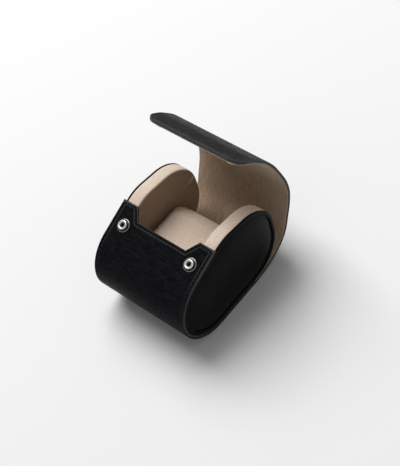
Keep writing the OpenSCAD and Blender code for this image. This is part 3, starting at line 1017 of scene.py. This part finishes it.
def give(tree, **values):
    """Ends a group: each value becomes an output of that name."""
    for label in values:
        tree.interface.new_socket(label, in_out="OUTPUT", socket_type="NodeSocketFloat")
    group_out = tree.nodes.new("NodeGroupOutput")
    for label, value in values.items():
        tree.links.new(value, group_out.inputs[label])
    print(tree.name, len(tree.nodes), "nodes")


def sums(tree, operation, a, b=0.0, c=0.0):
    return add(tree, "Math", {0: a, 1: b, 2: c}, operation=operation).outputs[0]


def per(tree, size, share=1.0):
    """A pattern's scale, from the size of what repeats in it."""
    return sums(tree, "DIVIDE", share, size)


def vectors(tree, operation, a, b):
    """Maths on vectors. SCALE takes a number for b, the others take a vector."""
    wires = {0: a, "Scale" if operation == "SCALE" else 1: b}
    return add(tree, "VectorMath", wires, operation=operation).outputs[0]


def span(tree, value, low, high, start=0.0, end=1.0, ease="LINEAR"):
    """Maps what goes from start to end onto low to high."""
    return add(tree, "MapRange", {0: value, 1: start, 2: end, 3: low, 4: high},
               interpolation_type=ease).outputs[0]


def noise(tree, place, scale, detail, rough=0.5, distortion=0.0):
    return add(tree, "TexNoise", {"Vector": place, "Scale": scale, "Detail": detail,
                                  "Roughness": rough, "Distortion": distortion}).outputs


print("node helpers ready")

# %% Leather grain
grain, given = effect("Leather grain", Pebble=0.0006, Crease=0.0016, Stretch=6.0)
wander = vectors(grain, "SCALE", noise(grain, given["Place"], 700.0, 1.0)["Color"], 0.0004)
shifted = vectors(grain, "ADD", given["Place"], wander)
pebbles = add(grain, "TexVoronoi", {"Vector": shifted, "Scale": per(grain, given["Pebble"])},
              feature="DISTANCE_TO_EDGE").outputs["Distance"]
pebbles = span(grain, pebbles, 0.0, 1.0, end=0.22, ease="SMOOTHSTEP")
squeeze = add(grain, "CombineXYZ", {0: per(grain, given["Stretch"]), 1: 1.0, 2: 1.0})
laid = vectors(grain, "MULTIPLY", shifted, squeeze.outputs[0])
folds = noise(grain, laid, per(grain, given["Crease"]), 3.0, 0.55, 0.4)["Fac"]
creases = span(grain, folds, 0.0, 1.0, 0.38, 0.62, "SMOOTHSTEP")
height = sums(grain, "MULTIPLY_ADD", creases, 0.75, sums(grain, "MULTIPLY", pebbles, 0.35))
give(grain, Height=height, Creases=creases, Mottle=noise(grain, given["Place"], 70.0, 4.0)["Fac"])

# %% Suede nap
nap, given = effect("Suede nap", Fibre=0.00035, Patch=0.03)
fibres = noise(nap, given["Place"], per(nap, given["Fibre"]), 3.0, 0.7)["Fac"]
tufts = noise(nap, given["Place"], per(nap, given["Fibre"], 0.25), 2.0, 0.6)["Fac"]
patches = noise(nap, given["Place"], per(nap, given["Patch"]), 2.0)["Fac"]
combed = vectors(nap, "MULTIPLY", given["Place"], (1.0, 0.22, 1.0))
wrinkles = noise(nap, combed, 600.0, 3.0, 0.6, 1.2)["Fac"]
height = sums(nap, "MULTIPLY_ADD", wrinkles, 1.6, sums(
    nap, "MULTIPLY_ADD", fibres, 0.5, sums(nap, "MULTIPLY", tufts, 0.8)))
give(nap, Height=height, Brushed=span(nap, patches, 0.0, 1.0, 0.35, 0.65, "SMOOTHSTEP"),
     Fleck=tufts, Wrinkles=wrinkles)

# %% Handling wear
wear, given = effect("Handling wear", Size=0.004)
smears = noise(wear, given["Place"], per(wear, given["Size"]), 4.0, 0.6)["Fac"]
drawn = vectors(wear, "MULTIPLY", given["Place"], (2600.0, 240.0, 700.0))
give(wear, Wear=smears, Scratches=noise(wear, drawn, 1.0, 2.0)["Fac"])

# %% [markdown]
# ## The finishes
# Each finish has one Principled shader. Patterns feed its colour, its bump and, where that
# varies, its roughness. On the strap's leather and suede they read the flat place that was kept
# on the mesh, so the creases run across the leather all the way round. Everywhere else they
# read Object coordinates.

# %% Finish maker
def finish(name, sheen=0.0, specular=0.5, metallic=0.0):
    """Starts a finish, with what is the same all over it set on the shader itself."""
    material = bpy.data.materials.new(name)
    material.use_nodes = True
    tree = material.node_tree
    shader = tree.nodes["Principled BSDF"]
    fill(tree, shader, {"Sheen Weight": sheen, "Sheen Roughness": 0.4,
                        "Specular IOR Level": specular, "Metallic": metallic})
    return material, tree, shader


def dress(tree, shader, colour, rough, height, depth, strength=1.0):
    """Ends a finish: its colour, its roughness, as a number or a pattern, and its bump."""
    bump = add(tree, "Bump", {"Height": height, "Distance": depth, "Strength": strength})
    fill(tree, shader, {"Base Color": colour, "Roughness": rough, "Normal": bump.outputs[0]})


def kept(tree, name, output="Fac"):
    """Reads what was kept on the mesh."""
    return add(tree, "Attribute", attribute_name=name).outputs[output]


def place_of(tree, flat=False):
    return kept(tree, "flat", "Vector") if flat else add(tree, "TexCoord").outputs["Object"]


def use(tree, group, place, **sizes):
    """Places an effect in a finish, with the finish's own sizes."""
    return add(tree, "Group", {"Place": place, **sizes}, node_tree=group).outputs


def mixed(tree, share, a, b):
    """Goes from colour a to colour b. Each is three numbers or comes from another node."""
    a, b = (c if isinstance(c, bpy.types.NodeSocket) else (*c, 1) for c in (a, b))
    node = add(tree, "Mix", {"Factor": share, "A": a, "B": b}, data_type="RGBA")
    return next(o for o in node.outputs if o.type == "RGBA")


# %% Leathers
# The light grey of a painted highlight on the rim and the ridge beside the sewn line.
painted_edge_highlight = (0.07, 0.071, 0.075)


def leather_finish(name, dark, light, rough, vary, depth, specular, crease, stretch=1.0,
                   flat=False):
    material, tree, shader = finish(name, specular=specular)
    grained = use(tree, grain, place_of(tree, flat), Pebble=0.0006, Crease=crease, Stretch=stretch)
    # The colour is lighter where the creases rise: partly the grain's own tone, partly a painted
    # highlight on the crease tops.
    crease_tone_and_sheen = sums(tree, "MULTIPLY_ADD", grained["Creases"], 0.7, sums(
        tree, "MULTIPLY", grained["Mottle"], 0.3))
    colour = mixed(tree, crease_tone_and_sheen, dark, light)
    # On the strap, light and shade are painted into the colour: the sewn line is darkened as
    # painted shade, and the rim and the ridge beside it are lightened as a painted highlight.
    if flat:
        side = kept(tree, "seam_shade_and_highlight")
        colour = vectors(tree, "SCALE", colour, span(tree, side, 0.1, 1.0, end=0.4))
        colour = mixed(tree, span(tree, side, 0.0, 1.0, start=0.5), colour, painted_edge_highlight)
    roughness = span(tree, grained["Creases"], rough + vary, rough - vary / 3)
    dress(tree, shader, colour, roughness, grained["Height"], depth)
    return material


strap_leather = leather_finish(
    "Grained black leather", (0.0022, 0.0024, 0.0031), (0.0112, 0.0117, 0.0140), rough=0.27,
    vary=0.10, depth=0.00022, specular=0.011, crease=0.0008, stretch=5.0, flat=True)
smooth_black = leather_finish(
    "Smooth black leather", (0.0015, 0.0015, 0.0017), (0.0022, 0.0022, 0.0025), rough=0.42,
    vary=0.02, depth=0.00001, specular=0.05, crease=0.003)
rim_black = leather_finish(
    "Painted leather edge", (0.010, 0.010, 0.011), (0.020, 0.020, 0.022), rough=0.36,
    vary=0.06, depth=0.00003, specular=0.4, crease=0.003)
print("three leathers")


# %% Suede, thread and board
def suede_finish(name, dark, light, creased, depth, flat=False, painted_well_shade=None):
    material, tree, shader = finish(name, sheen=0.25, specular=0.15)
    napped = use(tree, nap, place_of(tree, flat))
    colour = mixed(tree, napped["Brushed"], dark, light)
    # Painted shade: the cap's suede is darkened where it faces the well, but not along the fold,
    # which so shows as a painted highlight.
    if painted_well_shade:
        colour = mixed(tree, kept(tree, "painted_well_shade"), colour, painted_well_shade)
    fleck = span(tree, napped["Fleck"], 0.82, 1.16)
    # The wrinkles that raise the bump also tone the colour, darker in their hollows and lighter on
    # their crests: partly the nap's own tone and partly painted shade.
    wrinkle_tone_and_shade = span(tree, napped["Wrinkles"], 1 - creased, 1 + creased)
    toned = vectors(tree, "SCALE", colour, sums(tree, "MULTIPLY", fleck, wrinkle_tone_and_shade))
    dress(tree, shader, toned, 0.95, napped["Height"], depth, strength=0.8)
    return material


# The flap's lining is the same suede as the caps', written darker as painted shade, since the
# inside of the flap lies in shade.
flap_suede_painted_shade = suede_finish("Beige suede on the flap", (0.39, 0.285, 0.20), (0.44, 0.33, 0.235),
                           creased=0.45, depth=0.00035, flat=True)
# The caps' suede, with the flap's darker tone on the inner faces as painted shade.
cap_suede = suede_finish("Beige suede", (0.72, 0.59, 0.48), (0.78, 0.655, 0.545),
                         creased=0.12, depth=0.00016, painted_well_shade=(0.40, 0.295, 0.205))

black_thread, tree, shader = finish("Waxed black thread", specular=0.2)
twist = add(tree, "TexWave", {"Vector": place_of(tree), "Scale": 900.0, "Distortion": 1.0})
twist = twist.outputs["Fac"]
thread_tone = mixed(tree, twist, (0.006, 0.006, 0.007), (0.03, 0.03, 0.033))
dress(tree, shader, thread_tone, 0.5, twist, 0.00005)

hidden_board, tree, shader = finish("Fibre board", specular=0.2)
chips = use(tree, nap, place_of(tree), Fibre=0.0008, Patch=0.006)
board_tone = mixed(tree, chips["Fleck"], (0.16, 0.11, 0.06), (0.34, 0.25, 0.15))
dress(tree, shader, board_tone, 0.9, chips["Height"], 0.0001)
print("two suedes, thread and board")


# %% Metals
def metal_finish(name, dark, light, rough, painted_dip_shade=False):
    material, tree, shader = finish(name, metallic=1.0)
    worn = use(tree, wear, place_of(tree), Size=0.0025)
    colour = mixed(tree, worn["Wear"], dark, light)
    # Painted shade: on the studs the colour goes to near black in the waist, the hole and the
    # dimples, and part of the way on the foot's rim.
    if painted_dip_shade:
        colour = mixed(tree, kept(tree, "stud_painted_light"), (0.010, 0.009, 0.008), colour)
    roughness = span(tree, worn["Wear"], rough, rough + 0.12)
    dress(tree, shader, colour, roughness, worn["Scratches"], 0.000008)
    return material


bright = (0.34, 0.335, 0.32), (0.48, 0.47, 0.45), 0.13
nickel = metal_finish("Polished nickel", *bright)
# The studs' nickel, with shade painted dark into its dips.
stud_nickel = metal_finish("Polished nickel, dark in its dips", *bright, painted_dip_shade=True)
wire = metal_finish("Spring wire", (0.36, 0.36, 0.37), (0.55, 0.55, 0.56), 0.28)
blackened = metal_finish("Blackened brass", (0.02, 0.02, 0.02), (0.05, 0.05, 0.05), 0.45)
print("finishes", sorted(m.name for m in bpy.data.materials))


# %% Give every piece its finish
def wear_finish(piece, material):
    piece.data.materials.clear()
    piece.data.materials.append(material)


for (part, layer), piece in strap_parts.items():
    wear_finish(piece, {"leather": strap_leather, "board": rim_black, "lining": flap_suede_painted_shade,
                        "thread": black_thread}[layer])
for (word, kind), piece in cap_pieces.items():
    wear_finish(piece, cap_suede if kind == "cap_cover" else smooth_black)
wear_finish(cushion, cap_suede)
wear_finish(studs, stud_nickel)
wear_finish(sockets, nickel)
made_of = (("springs", wire), ("posts", blackened), ("snap", nickel), ("core", hidden_board),
           ("board", hidden_board), ("lining", cap_suede))
for node_name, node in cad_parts.items():
    wear_finish(node, next((m for word, m in made_of if word in node_name), smooth_black))
